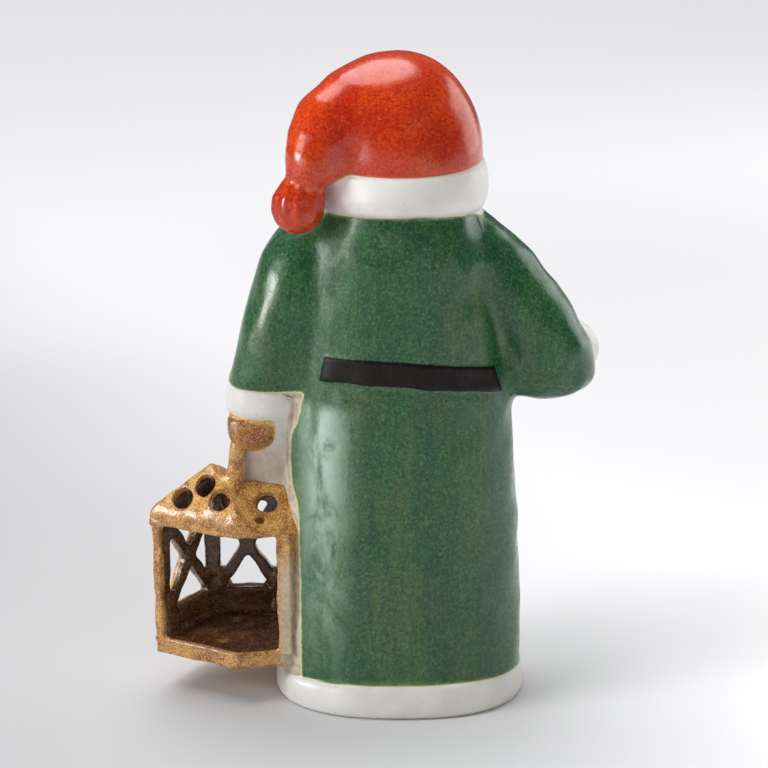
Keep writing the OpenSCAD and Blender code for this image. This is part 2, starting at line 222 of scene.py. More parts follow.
# Rows of [x, y, z, radius]
TAIL = [[12, 4, 304.5, 18.8], [22, 10, 300, 20.1], [32.3, 16.2, 294, 18.5], [38, 22, 286, 15.2],
        [41.5, 25.5, 279, 12.2], [44.4, 26.8, 273, 9.2]]
MOUSTACHE = [[2.5, -47.5, 229.5, 4.5], [8, -48.5, 228.6, 5.2], [14, -47, 226.2, 4.5], [19, -44, 224.5, 3.2],
             [22.5, -41, 225.5, 2]]
PALM = [[-86, -52, 164.5, 12.6], [-87, -62, 165, 13], [-88, -72, 166.5, 10.5]]
THUMB = [[-80, -58, 170.5, 5.6], [-76, -70, 174, 5]]


def lying(p):
    """The same place read with its z axis laid towards -Y, for parts that reach forward."""
    return p[0], p[2], -p[1]


def coat_field(p):
    keys = [[z, 0, 0, coat_half_w * w, coat_half_d * d] for z, w, d in COAT]
    chest = between(p[2], 160, 190) * between(p[2], 250, 230)
    neck = collar + 4
    return smooth_max(loft(p, keys, BODY_FULLNESS + 0.3 * chest), p[2] - neck, 3)


def belt_field(p, coat):
    """A strap pressed onto the coat, lower in front, with slanted ends beside the sleeves."""
    middle = 171.5 + 0.07 * p[0] + 0.175 * p[1]
    half_height, proud, rounding = 6.2, 1.1, 1.6
    strap = smooth_max(coat - proud, np.abs(p[2] - middle) - half_height, rounding)
    left_end, right_end = 40, -47.5
    slant = 0.23 * (170.6 - p[2])
    return np.maximum(strap, np.maximum(p[0] - left_end - slant, right_end - p[0] - slant))


def hem_field(p):
    """A thick band round the foot whose top edge rises towards the front and the back."""
    deeper = 1.025
    keys = [[z, 0, 0, hem_half_w * share, hem_half_d * share * deeper] for z, share in HEM]
    top = 14 + 3.2 * (np.abs(p[1]) / hem_half_d) ** 1.4 - 0.01 * p[0]
    return smooth_max(loft(p, keys, BODY_FULLNESS), p[2] - top, 2.5)


def left_sleeve_field(p):
    wrist, shoulder = 162.6 + 0.1 * (p[0] - 50), 251
    return cut_level(loft(p, LEFT_ARM, 2.3), p[2], wrist, shoulder, 2, 4)


def left_cuff_field(p):
    return cut_level(loft(p, LEFT_CUFF), p[2], 149.5, 170, 3.5, 2)


def right_sleeve_field(p):
    """An upper arm and a bent forearm that run into each other at the elbow."""
    forward = lying(p)
    elbow, shoulder, back, wrist = 164, 249, -15, 44
    upper = cut_level(loft(p, RIGHT_ARM), p[2], elbow, shoulder, 8, 4)
    fore = cut_level(loft(forward, FOREARM), forward[2], back, wrist, 6, 2)
    return smooth_min(upper, fore, 10)


def right_cuff_field(p):
    forward = lying(p)
    return cut_level(loft(forward, RIGHT_CUFF), forward[2], 40, 57.5, 2, 4)


def left_mitten_field(p):
    """A fist with a flat top under the cuff and flattened sides."""
    low, high = span("left_mitten")
    x, y, _ = (low + high) / 2
    top, half_width, rounding = high[2], 11.6, 2.5
    fist = egg(p, (x, y - 1, top - 6), (13.2, 8.5, 13.2))
    return smooth_max(smooth_max(fist, p[2] - top, rounding), np.abs(p[0] - x) - half_width, rounding)


def right_mitten_field(p):
    finger_end = 83
    return smooth_max(smooth_min(limb(p, PALM), limb(p, THUMB), 3), -p[1] - finger_end, 3)


def side_web_field(p):
    under_roof = 3.5
    web = cut_level(loft(p, WEB), p[2], 96, 152, 2, 2)
    return smooth_max(web, -roof_slopes(p) - under_roof, 1)


def head_field(p):
    """A ball with two soft cheeks and two shallow eye sockets."""
    x, y, _ = sum(span("head")) / 2
    ball = egg(p, (x, y, 250), (37, 37, 37))
    for side in (-1, 1):
        cheek = egg(p, (x + side * 13, y - 29.5, 235), (8.5, 8, 8))
        socket = egg(p, (x + side * EYE_SIDE, y - 38.5, 242), (5, 4, 4))
        ball = smooth_max(smooth_min(ball, cheek, 5), -socket, 4)
    return ball


def nose_field(p):
    low, high = span("nose")
    x, _, z = (low + high) / 2
    depth = 7.4
    return egg(p, (x, low[1] + depth, z), (7.2, depth, 6.8))


def eyes_field(p):
    low, high = span("eyes")
    x, _, z = (low + high) / 2
    depth = 2.6
    eyes = [egg(p, (x + side * EYE_SIDE, low[1] + depth, z), (2.4, 2.4, 2.6)) for side in (-1, 1)]
    return np.minimum(*eyes)


def moustache_field(p):
    """Two curved strands with fine combed lines."""
    x, _, _ = sum(span("moustache")) / 2
    combed = 0.35 * np.sin((p[2] - 0.5 * np.abs(p[0] - x)) * 2.2)
    sides = [limb((side * (p[0] - x), p[1], p[2]), MOUSTACHE, 3) for side in (-1, 1)]
    return np.minimum(*sides) + combed


def beard_field(p):
    """A tapering shield of wavy locks, cut out round the face."""
    cx, _, rx, _ = smooth_keys(BEARD, p[2])
    lock = (p[0] - cx) / rx * 4.2 + 0.35 * np.sin(p[2] / 8.5)
    locks = 0.75 * np.cos(2 * math.pi * lock)
    hairs = 0.25 * np.sin(2 * math.pi * lock * 2.7 + p[2] / 6)
    body = cut_level(loft(p, BEARD) + locks + hairs, p[2], 174.5, 253, 3, 2)
    face = egg((p[0], p[1] * 0, p[2]), (-1, 0, 242), (17, 60, 14.5))
    return smooth_max(body, -face, 3)


def band_top(p):
    return band_high + 2.9 - 0.075 * p[1]


def band_field(p):
    """The rolled band, whose edges tilt with the cap."""
    keys = [[z, band_x, band_y, rx, ry] for z, rx, ry in BAND]
    bottom = band_low - 2 + 0.11 * p[1]
    return cut_level(loft(p, keys), p[2], bottom, band_top(p), 3, 2.5)


def cap_field(p):
    """A dome with a second swelling towards the tail, and the tail bent down beside it."""
    dome = egg(p, (band_x + 1, band_y, band_high + 4), (40.3, 40, cap_top - band_high - 4))
    dome = smooth_min(dome, egg(p, (band_x + 8, band_y + 2, band_high + 19), (33, 31, 29)), 12)
    dome = smooth_max(dome, band_top(p) - p[2], 2)
    return smooth_min(dome, limb(p, TAIL, 5), 6)


def tassel_field(p):
    """A drop with gathers that start where the yarn is tied."""
    angle = np.arctan2(p[1] - 27, p[0] - 48.5)
    gathers = 0.4 * np.cos(angle * 9 + 0.8 * np.sin(p[2] / 5)) * between(p[2], 248.5, 260.5)
    return cut_level(loft(p, TASSEL) + gathers, p[2], 246, 274.5, 4, 2)


# How softly each piece is pressed onto what is already there, in millimetres
PRESSED = {"left_sleeve": 9, "right_sleeve": 11, "hem_band": 1.4, "belt": 0.9, "left_cuff": 1.6,
           "side_web": 5, "left_mitten": 1.4, "right_cuff": 1.6, "right_mitten": 1.4, "head": 2,
           "beard": 1.6, "moustache": 1.2, "nose": 1.2, "cap_band": 1.4, "cap": 1.3, "cap_tassel": 1.6}


def figure_fields(p):
    coat = coat_field(p)
    return {"coat": coat, "left_sleeve": left_sleeve_field(p), "right_sleeve": right_sleeve_field(p),
            "hem_band": hem_field(p), "belt": belt_field(p, coat), "left_cuff": left_cuff_field(p),
            "side_web": side_web_field(p), "left_mitten": left_mitten_field(p),
            "right_cuff": right_cuff_field(p), "right_mitten": right_mitten_field(p),
            "head": head_field(p), "beard": beard_field(p), "moustache": moustache_field(p),
            "nose": nose_field(p), "cap_band": band_field(p), "cap": cap_field(p),
            "cap_tassel": tassel_field(p)}


def figure_union(fields, p):
    """All pieces pressed together, with a rounded edge at the foot."""
    whole = fields["coat"]
    for name, k in PRESSED.items():
        whole = smooth_min(whole, fields[name], k)
    return smooth_max(whole, -p[2], 2.5)


# ---------------------------------------------------------------- the lantern

floor_low, floor_high = span("lantern_floor")
roof_low, roof_high = span("lantern_roof")

# Corners of the five-sided plan, anticlockwise: inner front, inner rear, rear, outer and front
PLAN = [(51, 25), (51, -29), (102, -29), (126, 10.2), (82.5, 31.5)]
APEX = (94.5, 8)
RIDGE_END = (55, 9)
RIDGE_DROP = 8.7
VENTS = [(109, 14, 106.5), (97.3, 14, 113), (89, 20, 106), (66.8, 18.5, 106)]
VENT_AXIS = (0.17, 0.66, 0.73)

# Rows of centre x, y, turn in degrees, half width, half depth
POSTS = {"lantern_post_front": (57, 24.6, -20, 4, 4), "lantern_post_outer": (121.4, 8.2, -31.6, 2.6, 4.2),
         "lantern_post_rear": (98.4, -24.6, 0, 4, 4), "lantern_post_inner": (61, -25, 0, 3.8, 3.8)}

# Width of the clay worked into the joints, where it is more than the usual
LUTED = {"lantern_handle": 4, "lantern_panel_outer": 4, "lantern_panel_far": 4}
USUAL_LUTE = 1.8


def lantern_floor_field(p):
    middle = (floor_low[2] + floor_high[2]) / 2
    half = (floor_high[2] - floor_low[2]) / 2
    return smooth_max(outline(p, PLAN, 1.4), np.abs(p[2] - middle) - half, 1.5)


def slope(p, a, b, c):
    """Distance above the plane through three points, listed anticlockwise from outside."""
    n = np.cross(np.subtract(b, a), np.subtract(c, a))
    n = n / np.linalg.norm(n)
    return sum((p[i] - a[i]) * n[i] for i in range(3))


def roof_slopes(p):
    """A pyramid over the outer corner, run into a lower ridge that ends at the coat."""
    foot, top, ridge_top = roof_low[2] + 9, roof_high[2] + 1.5, roof_high[2] - RIDGE_DROP
    _, inner_rear, rear, outer, front = ((x, y, foot) for x, y in PLAN)
    apex, ridge_end = (*APEX, top), (*RIDGE_END, ridge_top)
    near = slope(p, outer, front, apex)
    far = slope(p, rear, outer, apex)
    hip = smooth_max(near, far, 1.5)
    steep = (APEX[0] - p[0]) * 0.79 + (p[2] - top) * 0.61
    behind = slope(p, (90, -29, foot), rear, apex)
    pyramid = smooth_max(hip, smooth_max(steep, behind, 1.5), 1.5)
    low_near = slope(p, (82.5, 30.5, foot - 3), (51, 25, foot - 4), ridge_end)
    low_far = slope(p, ridge_end, inner_rear, rear)
    low_ridge = smooth_max(smooth_max(low_near, low_far, 2.5), hip, 3)
    low_ridge = smooth_max(low_ridge, p[0] - APEX[0], 3)
    return smooth_min(pyramid, low_ridge, 4)


def lantern_roof_field(p):
    """A slab under the slopes, hollowed from below, with round vents and one blind pit."""
    walls, slopes = outline(p, PLAN, 1.4), roof_slopes(p)
    overhang, slab, eaves = 0.6, 6, 7
    shell = smooth_max(smooth_max(slopes, walls - overhang, 2.2), roof_low[2] - p[2], 1.4)
    shell = smooth_max(shell, -np.maximum(slopes + slab, walls + eaves), 2)
    vent_radius, vent_depth = 5.4, 11
    for centre in VENTS:
        away = [a - b for a, b in zip(p, centre)]
        along = sum(a * n for a, n in zip(away, VENT_AXIS))
        off = np.sqrt(np.maximum(sum(a * a for a in away) - along * along, 0))
        shell = smooth_max(shell, np.minimum(vent_radius - off, vent_depth + along), 0.5)
    pit_centre, pit_radius = (70, 24.5, 98.8), 2.7
    pit = np.sqrt(sum((a - b) ** 2 for a, b in zip(p, pit_centre)))
    return smooth_max(shell, pit_radius - pit, 0.6)


def post_field(p, node):
    x, y, turn, half_w, half_d = POSTS[node]
    middle, half_height = 60, 33
    c, s = math.cos(math.radians(turn)), math.sin(math.radians(turn))
    u, v = (p[0] - x) * c + (p[1] - y) * s, (p[1] - y) * c - (p[0] - x) * s
    section = smooth_max(np.abs(u) - half_w, np.abs(v) - half_d, 1.2)
    return smooth_max(section, np.abs(p[2] - middle) - half_height, 1)


def panel_field(p, start, end):
    """A lattice of two crossing bars over a solid curb, on the line between two posts."""
    (ax, ay), (bx, by) = start, end
    curb, half_bar, half_slab, sunk = 13.5, 2.8, 3.2, 3
    length = math.hypot(bx - ax, by - ay)
    u = ((p[0] - ax) * (bx - ax) + (p[1] - ay) * (by - ay)) / length
    w = ((p[1] - ay) * (bx - ax) - (p[0] - ax) * (by - ay)) / length
    bottom, top = floor_high[2] + curb, roof_low[2]
    middle, high = length / 2, (bottom + top) / 2
    angle = math.atan2(top - bottom, length - 6)
    flat = p[2] - bottom
    for side in (-1, 1):
        bar = np.abs((p[2] - high) * math.cos(angle) - side * (u - middle) * math.sin(angle)) - half_bar
        flat = smooth_min(flat, bar, 3)
    flat = np.maximum(np.maximum(flat, np.abs(u - middle) - middle), p[2] - top - sunk)
    return smooth_max(np.maximum(flat, floor_high[2] - sunk - p[2]), np.abs(w) - half_slab, 1.4)


def handle_field(p):
    """A tapering stem from the roof up into the fist."""
    low, high = span("lantern_handle")
    foot, neck, top = [high[0] - 4.6, 13, low[2] + 4, 5.4], [82.6, 12.6, 120, 3.9], [80, 12, 141, 3.3]
    return smooth_max(limb(p, [foot, neck, top], 2), p[2] - 142, 2)


def lantern_fields(p):
    fields = {node: post_field(p, node) for node in POSTS}
    fields["lantern_floor"] = lantern_floor_field(p)
    fields["lantern_roof"] = lantern_roof_field(p)
    inner, rear, outer = (POSTS["lantern_post_" + end][:2] for end in ("inner", "rear", "outer"))
    fields["lantern_panel_outer"] = panel_field(p, rear, outer)
    fields["lantern_panel_far"] = panel_field(p, inner, rear)
    fields["lantern_handle"] = handle_field(p)
    return fields


def lantern_union(fields, p):
    """All pieces luted together, ended just inside the coat."""
    whole = fields["lantern_floor"]
    for name, field in fields.items():
        if name != "lantern_floor":
            whole = smooth_min(whole, field, LUTED.get(name, USUAL_LUTE))
    return np.maximum(whole, -coat_field(p) - 2.5)


# ---------------------------------------------------------------- from fields to pieces

def skin(make_fields, unite, low, high, voxel):
    """Triangles on the zero surface of a union of fields, with corners moved onto it."""
    low, high = np.array(low, np.float32), np.array(high, np.float32)
    axes = [np.arange(low[i], high[i] + voxel, voxel, dtype=np.float32) for i in range(3)]
    grid = (axes[0][:, None, None], axes[1][None, :, None], axes[2][None, None, :])
    field = np.ascontiguousarray(unite(make_fields(grid), grid), dtype=np.float32)
    volume = openvdb.FloatGrid(float(field.max()))
    reach = 3 * voxel
    volume.copyFromArray(np.clip(field, -reach, reach))
    points, quads = volume.convertToQuads(isovalue=0.0)
    points = points.astype(np.float64) * voxel + low
    quads = quads.astype(np.int64)[:, ::-1]
    triangles = np.vstack([quads[:, [0, 1, 2]], quads[:, [0, 2, 3]]])
    settle_rounds = 3
    for _ in range(settle_rounds):
        points = settle(points, lambda p: unite(make_fields(p), p))
    return points, triangles


def settle(points, field, reach=0.05, longest=0.6, flattest=0.25):
    """One Newton step onto the field's zero surface."""
    value = field(tuple(points.T))
    rise = np.stack([(field(tuple((points + reach * axis).T)) - value) / reach for axis in np.eye(3)], axis=1)
    step = np.clip(value / np.maximum((rise ** 2).sum(axis=1), flattest), -longest, longest)
    return points - rise * step[:, None]


def corner_normals(points, triangles):
    a, b, c = (points[triangles[:, i]] for i in range(3))
    face = np.cross(b - a, c - a)
    total = np.zeros_like(points)
    for i in range(3):
        for axis in range(3):
            total[:, axis] += np.bincount(triangles[:, i], face[:, axis], len(points))
    return total / np.maximum(np.linalg.norm(total, axis=1, keepdims=True), TINY)


def edge_average(values, triangles, rounds):
    """Values smoothed over neighbouring corners."""
    a = np.concatenate([triangles[:, 0], triangles[:, 1], triangles[:, 2]])
    b = np.concatenate([triangles[:, 1], triangles[:, 2], triangles[:, 0]])
    count = np.maximum(np.bincount(a, minlength=len(values)), 1)
    for _ in range(rounds):
        values = 0.5 * values + 0.5 * np.bincount(a, values[b], len(values)) / count
    return values


def bulge(points, triangles, normals, rounds):
    """How proud of its surroundings the surface is: above 0 on edges, below 0 in creases."""
    around = np.stack([edge_average(points[:, i].copy(), triangles, rounds) for i in range(3)], axis=1)
    return edge_average(((points - around) * normals).sum(axis=1), triangles, 2)


def part_of(points, triangles, data, key):
    """Splits triangles where data[:, key] changes sign, and returns (points, data, inside, outside)."""
    value = data[:, key]
    corner = value[triangles]
    inside = (corner < 0).all(axis=1)
    outside = (corner >= 0).all(axis=1)
    mixed = triangles[~inside & ~outside]
    negative = value[mixed] < 0
    lone = np.where(negative.sum(axis=1) == 1, negative.argmax(axis=1), (~negative).argmax(axis=1))
    rows = np.arange(len(mixed))
    a, b, c = (mixed[rows, (lone + i) % 3] for i in range(3))
    edges = np.sort(np.concatenate([np.stack([a, b], 1), np.stack([a, c], 1)]), axis=1)
    edges, place = np.unique(edges, axis=0, return_inverse=True)
    place = place.reshape(-1)
    u, v = value[edges[:, 0]], value[edges[:, 1]]
    shortest = 0.02
    t = np.clip(u / (u - v), shortest, 1 - shortest)[:, None]
    ab, ac = place[:len(a)] + len(points), place[len(a):] + len(points)
    points = np.vstack([points, points[edges[:, 0]] * (1 - t) + points[edges[:, 1]] * t])
    extra = data[edges[:, 0]] * (1 - t) + data[edges[:, 1]] * t
    extra[:, key] = 0
    data = np.vstack([data, extra])
    tip = np.stack([a, ab, ac], 1)
    rest = np.vstack([np.stack([ab, b, c], 1), np.stack([ab, c, ac], 1)])
    tip_in = value[a] < 0
    twice = np.concatenate([tip_in, tip_in])
    return (points, data, np.vstack([triangles[inside], tip[tip_in], rest[~twice]]),
            np.vstack([triangles[outside], tip[~tip_in], rest[twice]]))


def rims(triangles):
    """Closed loops of corners along the open edges."""
    directed = np.concatenate([triangles[:, [0, 1]], triangles[:, [1, 2]], triangles[:, [2, 0]]])
    order = np.sort(directed, axis=1)
    _, place, count = np.unique(order, axis=0, return_inverse=True, return_counts=True)
    follow = {}
    for a, b in directed[count[place.reshape(-1)] == 1]:
        follow.setdefault(int(a), []).append(int(b))
    while follow:
        start = next(iter(follow))
        loop, here = [start], start
        while here in follow:
            there = follow[here].pop()
            if not follow[here]:
                del follow[here]
            if there == start:
                break
            loop.append(there)
            here = there
        yield loop


def closing(points, triangles):
    """Triangles across each open rim, inside the clay. A rim that cannot be laid flat stays partly open."""
    caps = []
    for loop in rims(triangles):
        if len(loop) < 3:
            continue
        outlined = tessellate_polygon([[Vector(points[i]) for i in loop]])
        flat = [[loop[i] for i in corners] for corners in outlined]
        walked = {(t[i], t[i - 2]) for t in flat for i in range(3)}
        if sum((a, b) in walked for a, b in zip(loop, loop[1:])) * 2 > len(loop):
            flat = [t[::-1] for t in flat]
        caps += flat
    return np.array(caps, int).reshape(-1, 3)


def build_piece(name, points, triangles, normals, extras):
    """A mesh object from one piece of skin and its caps, with the glaze's numbers on its corners."""
    used, place = np.unique(triangles, return_inverse=True)
    triangles = place.reshape(triangles.shape)
    points, normals = points[used], normals[used]
    extras = {key: values[used] for key, values in extras.items()}
    caps = closing(points, triangles)
    faces = np.vstack([triangles, caps])
    mesh = bpy.data.meshes.new(name)
    mesh.vertices.add(len(points))
    mesh.vertices.foreach_set("co", (points / MM).astype(np.float32).ravel())
    mesh.loops.add(faces.size)
    mesh.loops.foreach_set("vertex_index", faces.astype(np.int32).ravel())
    mesh.polygons.add(len(faces))
    mesh.polygons.foreach_set("loop_start", np.arange(0, faces.size, 3, dtype=np.int32))
    mesh.update(calc_edges=True)
    for key, values in extras.items():
        layer = mesh.attributes.new(key, "FLOAT", "POINT")
        layer.data.foreach_set("value", values.astype(np.float32))
    a, b, c = (points[caps[:, i]] for i in range(3))
    flat = np.cross(b - a, c - a)
    flat /= np.maximum(np.linalg.norm(flat, axis=1, keepdims=True), TINY)
    loops = np.vstack([normals[triangles.ravel()], np.repeat(flat, 3, axis=0)])
    mesh.polygons.foreach_set("use_smooth", np.ones(len(faces), bool))
    mesh.normals_split_custom_set(loops.astype(np.float32).tolist())
    piece = bpy.data.objects.new(name, mesh)
    bpy.context.collection.objects.link(piece)
    return piece


def cut_apart(points, triangles, names, fields, normals, extras):
    """Cuts the skin into the named pieces, each where its own field is the deepest."""
    count, keys = len(names), list(extras)
    layers = [fields[n] for n in names] + list(normals.T) + [extras[k] for k in keys]
    data = np.stack(layers + [np.zeros(len(points))], axis=1)
    cut = data.shape[1] - 1
    pieces, left = {}, triangles
    for i, name in enumerate(names):
        own = left
        if i + 1 < count:
            data[:, cut] = data[:, i] - data[:, i + 1:count].min(axis=1)
            points, data, own, left = part_of(points, left, data, cut)
        if len(own):
            pieces[name] = own
    unit = data[:, count:count + 3]
    unit = unit / np.maximum(np.linalg.norm(unit, axis=1, keepdims=True), TINY)
    more = {k: data[:, count + 3 + n] for n, k in enumerate(keys)}
    made, no_seam = {}, 50.0
    for name, own in pieces.items():
        slot = SLOT_OF[name]
        rivals = [j for j, other in enumerate(names) if SLOT_OF[other] not in (slot, "dark_glaze")]
        gap = data[:, rivals].min(axis=1) - data[:, names.index(name)] if rivals else None
        more["seam"] = np.full(len(data), no_seam) if gap is None else gap / 2
        piece = build_piece(name + "_clay", points, own, unit, more)
        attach(piece, "root")
        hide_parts(name)
        made[name] = piece
    return made


# ---------------------------------------------------------------- glazes

def srgb(r, g, b):
    """Linear colour from the 0 to 255 values of a colour card."""
    shares = [c / 255 for c in (r, g, b)]
    return tuple(((c + 0.055) / 1.055) ** 2.4 if c > 0.04 else c / 12.92 for c in shares) + (1.0,)


class Glaze:
    """Builds one procedural material, node by node."""

    def __init__(self, name):
        self.material = bpy.data.materials.new(name)
        self.material.use_nodes = True
        self.tree = self.material.node_tree
        self.tree.nodes.clear()
        self.out = self.tree.nodes.new("ShaderNodeOutputMaterial")
        self.shader = self.tree.nodes.new("ShaderNodeBsdfPrincipled")
        self.tree.links.new(self.shader.outputs["BSDF"], self.out.inputs["Surface"])
        coordinates = self.tree.nodes.new("ShaderNodeTexCoord")
        self.place = coordinates.outputs["Object"]

    def put(self, socket, value):
        if isinstance(value, bpy.types.NodeSocket):
            self.tree.links.new(value, socket)
        else:
            socket.default_value = value

    def stretched(self, x, y, z):
        node = self.tree.nodes.new("ShaderNodeMapping")
        node.inputs["Scale"].default_value = (x, y, z)
        self.tree.links.new(self.place, node.inputs["Vector"])
        return node.outputs["Vector"]

    def noise(self, scale, detail=4.0, rough=0.55, warp=0.0, place=None):
        """A cloudy number near 0.5. The scale counts clouds to the metre."""
        node = self.tree.nodes.new("ShaderNodeTexNoise")
        self.put(node.inputs["Vector"], place or self.place)
        node.inputs["Scale"].default_value = scale
        node.inputs["Detail"].default_value = detail
        node.inputs["Roughness"].default_value = rough
        node.inputs["Distortion"].default_value = warp
        return node.outputs["Fac"]

    def cells(self, scale, place=None):
        node = self.tree.nodes.new("ShaderNodeTexVoronoi")
        self.put(node.inputs["Vector"], place or self.place)
        node.inputs["Scale"].default_value = scale
        return node.outputs["Distance"]

    def attribute(self, name):
        node = self.tree.nodes.new("ShaderNodeAttribute")
        node.attribute_name = name
        return node.outputs["Fac"]

    def ramp(self, value, low, high, out_low=0.0, out_high=1.0):
        """A soft step from out_low at low to out_high at high."""
        node = self.tree.nodes.new("ShaderNodeMapRange")
        node.interpolation_type = "SMOOTHSTEP"
        for key, number in (("From Min", low), ("From Max", high), ("To Min", out_low), ("To Max", out_high)):
            node.inputs[key].default_value = number
        self.put(node.inputs["Value"], value)
        return node.outputs["Result"]

    def math(self, kind, a, b=0.0, clamp=False):
        node = self.tree.nodes.new("ShaderNodeMath")
        node.operation = kind
        node.use_clamp = clamp
        self.put(node.inputs[0], a)
        self.put(node.inputs[1], b)
        return node.outputs["Value"]

    def mix(self, amount, a, b, blend="MIX"):
        node = self.tree.nodes.new("ShaderNodeMix")
        node.data_type = "RGBA"
        node.blend_type = blend
        self.put(node.inputs["Factor"], amount)
        self.put(node.inputs["A"], a)
        self.put(node.inputs["B"], b)
        return node.outputs["Result"]

    def finish(self, colour, rough, height, coat=0.0):
        """Sets colour, roughness and a height in millimetres, and returns the material."""
        self.put(self.shader.inputs["Base Color"], colour)
        self.put(self.shader.inputs["Roughness"], rough)
        self.shader.inputs["IOR"].default_value = 1.5
        self.shader.inputs["Coat Weight"].default_value = coat
        self.shader.inputs["Coat Roughness"].default_value = 0.12
        bump = self.tree.nodes.new("ShaderNodeBump")
        bump.inputs["Strength"].default_value = 1.0
        bump.inputs["Distance"].default_value = 0.001
        self.put(bump.inputs["Height"], height)
        self.tree.links.new(bump.outputs["Normal"], self.shader.inputs["Normal"])
        return self.material


def surface_height(g, dents, pebble, pits=0.0):
    """Height in millimetres of a fired glaze: slow dents, a fine pebble and, where asked for, pits."""
    height = g.math("MULTIPLY", g.noise(70, 2.0, 0.4), dents)
    height = g.math("ADD", height, g.math("MULTIPLY", g.noise(900, 3.0, 0.5), pebble))
    if pits:
        height = g.math("ADD", height, g.ramp(g.noise(700, 2.0, 0.5), 0.28, 0.4, -pits, 0))
    return height


def green_glaze():
    """Green that ran down in darker threads, with a painted highlight as a pale sheen on the left of the
    skirt, white beside the lantern.
    """
    g = Glaze("green_glaze")
    streaks = g.ramp(g.noise(55, 5, 0.6, 0.2, g.stretched(1.0, 1.0, 0.1)), 0.4, 0.6)
    threads = g.ramp(g.noise(420, 4, 0.6, 0.1, g.stretched(1.0, 1.0, 0.06)), 0.44, 0.6)
    clouds = g.ramp(g.noise(16, 4, 0.6, 0.4), 0.36, 0.66)
    olive = g.ramp(g.noise(30, 5, 0.65, 0.6, g.stretched(1.0, 1.0, 0.35)), 0.46, 0.66)
    flecks = g.ramp(g.noise(850, 3, 0.6), 0.5, 0.62)
    specks = g.ramp(g.noise(700, 3, 0.6, 0.2, g.stretched(1.0, 1.0, 0.8)), 0.48, 0.62)
    colour = g.mix(clouds, srgb(32, 96, 54), srgb(52, 103, 52))
    colour = g.mix(g.math("MULTIPLY", olive, 0.5), colour, srgb(94, 110, 56))
    colour = g.mix(g.math("MULTIPLY", streaks, 0.6), colour, srgb(16, 76, 54))
    colour = g.mix(g.math("MULTIPLY", threads, 0.3), colour, srgb(12, 62, 44))
    colour = g.mix(g.math("MULTIPLY", flecks, 0.42), colour, srgb(112, 142, 92))
    colour = g.mix(g.math("MULTIPLY", specks, 0.6), colour, srgb(10, 50, 38))
    # Painted highlight: pale blotches that stand for a lamp's sheen on the left of the skirt
    painted_sheen_blotches = g.ramp(g.noise(70, 5, 0.7, 0.6, g.stretched(1.0, 1.0, 0.4)), 0.36, 0.6, 0.15, 0.95)
    colour = g.mix(g.math("MULTIPLY", g.attribute("bloom"), painted_sheen_blotches), colour, srgb(178, 206, 186))
    proud = g.attribute("bulge")
    colour = g.mix(g.ramp(proud, 0.05, 0.5, 0, 0.4), colour, srgb(112, 144, 92))
    colour = g.mix(g.ramp(proud, -0.6, -0.08, 0.45, 0), colour, srgb(18, 58, 42))
    wobble = g.math("MULTIPLY", g.math("SUBTRACT", g.noise(260, 3, 0.6), 0.5), 1.6)
    seam = g.math("ADD", g.attribute("seam"), wobble)
    strip = g.math("ADD", g.attribute("strip"), wobble)
    edge = g.math("MINIMUM", seam, g.math("MULTIPLY", strip, -1))
    white = g.mix(g.ramp(g.noise(300, 3, 0.5), 0.4, 0.7), srgb(210, 201, 184), srgb(176, 160, 136))
    colour = g.mix(g.ramp(edge, 0.2, 0.8, 0.7, 0), colour, srgb(136, 154, 84))
    colour = g.mix(g.ramp(seam, -0.5, 0.1, 1, 0), colour, srgb(196, 194, 140))
    colour = g.mix(g.ramp(strip, -0.4, 0.2), colour, srgb(222, 212, 168))
    colour = g.mix(g.ramp(strip, 0.3, 0.9), colour, white)
    rough = g.math("ADD", g.ramp(g.noise(240, 3), 0.35, 0.7, 0.22, 0.36), g.attribute("matt"))
    return g.finish(colour, rough, surface_height(g, dents=0.3, pebble=0.07), coat=0.1)


def red_glaze():
    """Speckled red, thin and orange on edges, dark in creases."""
    g = Glaze("red_glaze")
    clouds = g.ramp(g.noise(22, 4, 0.6, 0.3), 0.38, 0.62)
    specks = g.ramp(g.noise(750, 3, 0.6), 0.46, 0.6)
    lights = g.ramp(g.noise(900, 3, 0.6, 0.1), 0.52, 0.66)
    colour = g.mix(clouds, srgb(198, 42, 4), srgb(224, 72, 14))
    colour = g.mix(g.math("MULTIPLY", lights, 0.4), colour, srgb(234, 112, 50))
    colour = g.mix(g.math("MULTIPLY", specks, 0.6), colour, srgb(146, 26, 4))
    proud = g.attribute("bulge")
    colour = g.mix(g.ramp(proud, 0.03, 0.4, 0, 0.75), colour, srgb(232, 112, 44))
    colour = g.mix(g.ramp(proud, -0.5, -0.06, 0.6, 0), colour, srgb(128, 22, 6))
    colour = g.mix(g.ramp(g.attribute("seam"), -0.1, 0.5, 0.7, 0), colour, srgb(206, 100, 50))
    rough = g.ramp(g.noise(240, 3), 0.35, 0.7, 0.18, 0.3)
    return g.finish(colour, rough, surface_height(g, dents=0.15, pebble=0.05), coat=0.2)


